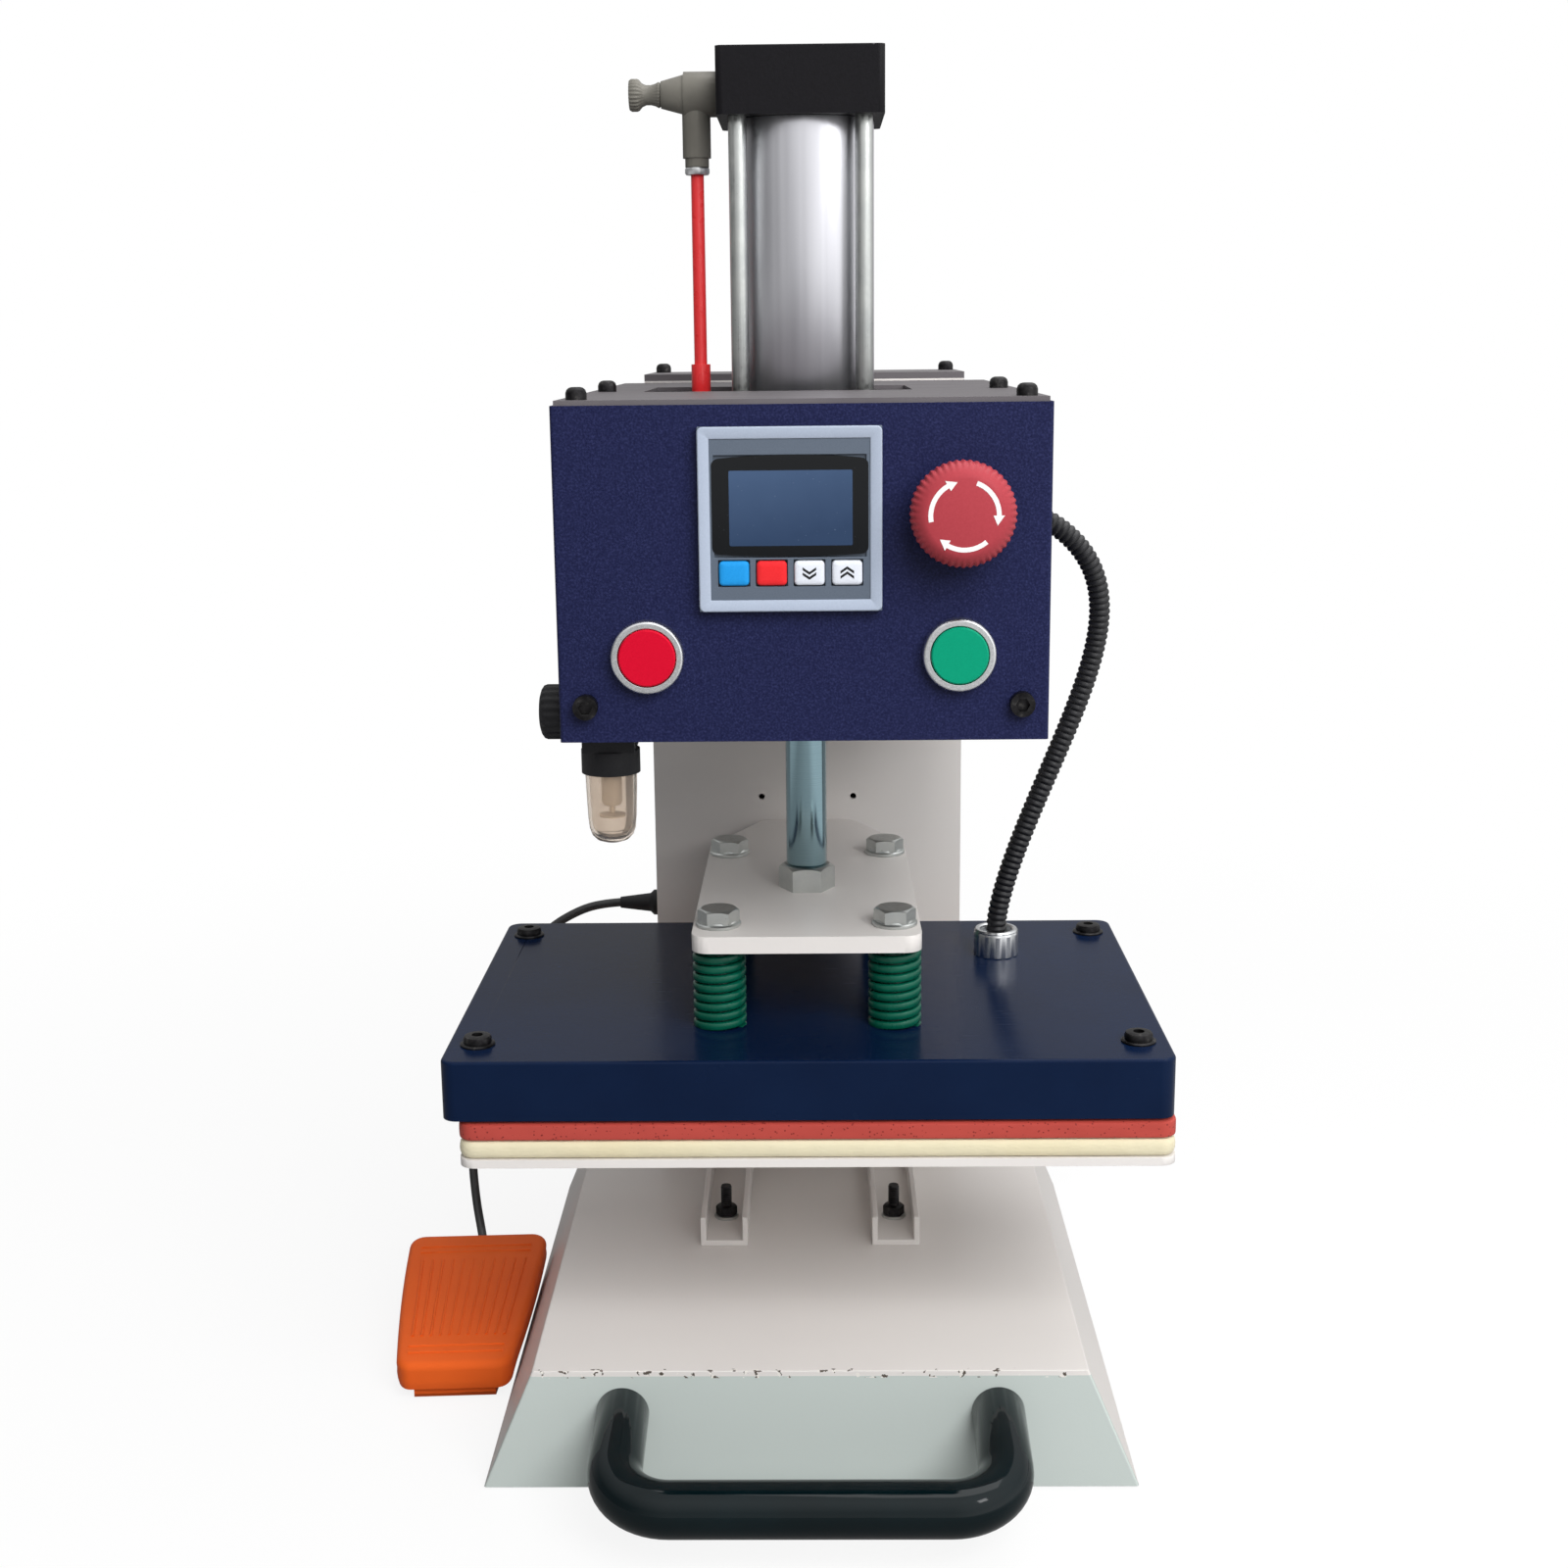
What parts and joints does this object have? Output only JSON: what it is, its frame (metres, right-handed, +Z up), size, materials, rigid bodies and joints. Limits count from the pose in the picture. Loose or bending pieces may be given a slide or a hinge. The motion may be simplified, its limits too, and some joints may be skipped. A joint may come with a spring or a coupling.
{
  "type": "pneumatic heat press",
  "caption": "Benchtop pneumatic heat press: C frame with a control head, an air cylinder driving a sprung heated platen onto a padded lower platen, and a foot pedal on a lead.",
  "frame": {"origin": "where the press axis, the axis of the air cylinder, meets the floor", "axes": "+Z up along the press axis, +X to the operator's right, +Y to the back"},
  "size_m": [0.3943, 0.434, 0.6565],
  "materials": {
    "frame_paint": "semi-gloss ivory grey powder coat",
    "lid_grey": "semi-gloss mid grey",
    "navy_coat": "textured navy powder coat",
    "navy_gloss": "gloss navy enamel",
    "black_gloss": "gloss black coat",
    "black_plastic": "matte black",
    "cap_black": "matte black anodised",
    "barrel": "satin anodised",
    "rod": "polished",
    "zinc": "zinc plated",
    "dark_steel": "black oxide",
    "silicone": "matte red silicone",
    "foam": "matte cream foam",
    "heater": "machined",
    "blanket": "glass fibre blanket",
    "spring": "green painted spring steel",
    "meter_grey": "satin grey",
    "meter_pane": "gloss black",
    "key_blue": "satin blue",
    "key_red": "satin red",
    "key_grey": "satin pale grey",
    "stop_red": "red",
    "start_green": "green",
    "satin_ring": "satin",
    "valve_grey": "grey",
    "tube_red": "red polyurethane",
    "smoked": "clear smoky bowl",
    "hose": "black ribbed conduit",
    "cord": "black sheath",
    "pedal_orange": "orange paint"
  },
  "bodies": {
    "frame": {"base_shell": "frame_paint", "base_floor": "frame_paint", "carry_handle": "black_gloss", "column": "frame_paint", "column_back_cover": "frame_paint", "mains_inlet": "black_plastic", "platen_stand": "frame_paint", "stand_bolts": "zinc", "lower_platen": "frame_paint", "lower_foam_pad": "foam", "lower_silicone_pad": "silicone", "head_arm": "frame_paint", "head_cover": "navy_coat", "head_lid": "lid_grey", "head_lid_screws": "dark_steel", "head_cover_screws": "dark_steel", "controller_case": "meter_grey", "controller_window": "meter_pane", "start_bezel": "satin_ring", "stop_bezel": "satin_ring", "estop_collar": "black_plastic", "contact_blocks": "black_plastic", "cylinder_rear_cap": "cap_black", "cylinder_front_cap": "cap_black", "cylinder_barrel": "barrel", "tie_rods": "zinc", "conduit_upper_gland": "satin_ring", "conduit_hose": "hose", "speed_valve_body": "valve_grey", "solenoid_valve": "black_plastic", "air_tube": "tube_red", "filter_regulator": "black_plastic", "filter_bowl": "smoked", "pedal_base": "pedal_orange", "pedal_pin": "zinc", "cord_gland": "black_plastic", "pedal_cord": "cord"},
    "ram": {"piston": "heater", "piston_seal": "black_plastic", "piston_rod": "rod", "rod_lock_nut": "zinc", "floating_plate": "frame_paint"},
    "platen": {"platen_cover": "navy_gloss", "heating_plate": "heater", "heater_blanket": "blanket", "platen_bolts": "zinc", "platen_cover_screws": "dark_steel", "platen_springs": "spring", "conduit_lower_gland": "satin_ring"},
    "start_key": {"start_button": "start_green"},
    "stop_key": {"stop_button": "stop_red"},
    "estop_slider": {"estop_plunger": "black_plastic"},
    "estop_cap": {"estop_head": "stop_red"},
    "blue_key": {"key_blue": "key_blue"},
    "red_key": {"key_red": "key_red"},
    "down_key": {"key_down": "key_grey"},
    "up_key": {"key_up": "key_grey"},
    "tread": {"pedal_tread": "pedal_orange"},
    "pressure_knob": {"regulator_knob": "black_plastic"},
    "speed_knob": {"speed_valve_knob": "valve_grey"}
  },
  "joints": [
    {"name": "press_stroke", "type": "slide", "parent": "frame", "child": "ram", "axis": [0, 0, 1], "range_m": [0, 0.06], "deforming": ["conduit_hose"]},
    {"name": "platen_float", "type": "slide", "parent": "ram", "child": "platen", "axis": [0, 0, 1], "range_m": [0, 0.006], "stiffness_N_per_m": 20000, "springref_m": -0.004, "deforming": ["platen_springs", "conduit_hose"]},
    {"name": "start_press", "type": "slide", "parent": "frame", "child": "start_key", "axis": [0, 1, 0], "range_m": [0, 0.003], "stiffness_N_per_m": 1333.3, "springref_m": -0.0015},
    {"name": "stop_press", "type": "slide", "parent": "frame", "child": "stop_key", "axis": [0, 1, 0], "range_m": [0, 0.003], "stiffness_N_per_m": 1333.3, "springref_m": -0.0015},
    {"name": "estop_push", "type": "slide", "parent": "frame", "child": "estop_slider", "axis": [0, 1, 0], "range_m": [0, 0.004], "stiffness_N_per_m": 3000, "springref_m": -0.002},
    {"name": "estop_twist", "type": "hinge", "parent": "estop_slider", "child": "estop_cap", "pos_m": [0.0625, -0.168, 0.4635], "axis": [0, 1, 0], "range_deg": [0, 45], "stiffness_Nm_per_rad": 0.05, "springref_deg": -17.19},
    {"name": "blue_press", "type": "slide", "parent": "frame", "child": "blue_key", "axis": [0, 1, 0], "range_m": [0, 0.0006], "stiffness_N_per_m": 2500, "springref_m": -0.0003},
    {"name": "red_press", "type": "slide", "parent": "frame", "child": "red_key", "axis": [0, 1, 0], "range_m": [0, 0.0006], "stiffness_N_per_m": 2500, "springref_m": -0.0003},
    {"name": "down_press", "type": "slide", "parent": "frame", "child": "down_key", "axis": [0, 1, 0], "range_m": [0, 0.0006], "stiffness_N_per_m": 2500, "springref_m": -0.0003},
    {"name": "up_press", "type": "slide", "parent": "frame", "child": "up_key", "axis": [0, 1, 0], "range_m": [0, 0.0006], "stiffness_N_per_m": 2500, "springref_m": -0.0003},
    {"name": "pedal_press", "type": "hinge", "parent": "frame", "child": "tread", "pos_m": [-0.18933, 0.09193, 0.0205], "axis": [0.9986, 0.0523, 0], "range_deg": [0, 2.5], "stiffness_Nm_per_rad": 40, "springref_deg": -5.73},
    {"name": "regulator_turn", "type": "hinge", "parent": "frame", "child": "pressure_knob", "pos_m": [-0.101, -0.13, 0.377], "axis": [-1, 0, 0], "range_deg": [-150, 150]},
    {"name": "speed_valve_turn", "type": "hinge", "parent": "frame", "child": "speed_knob", "pos_m": [-0.064, 0, 0.64], "axis": [-1, 0, 0], "range_deg": [-180, 180]}
  ]
}
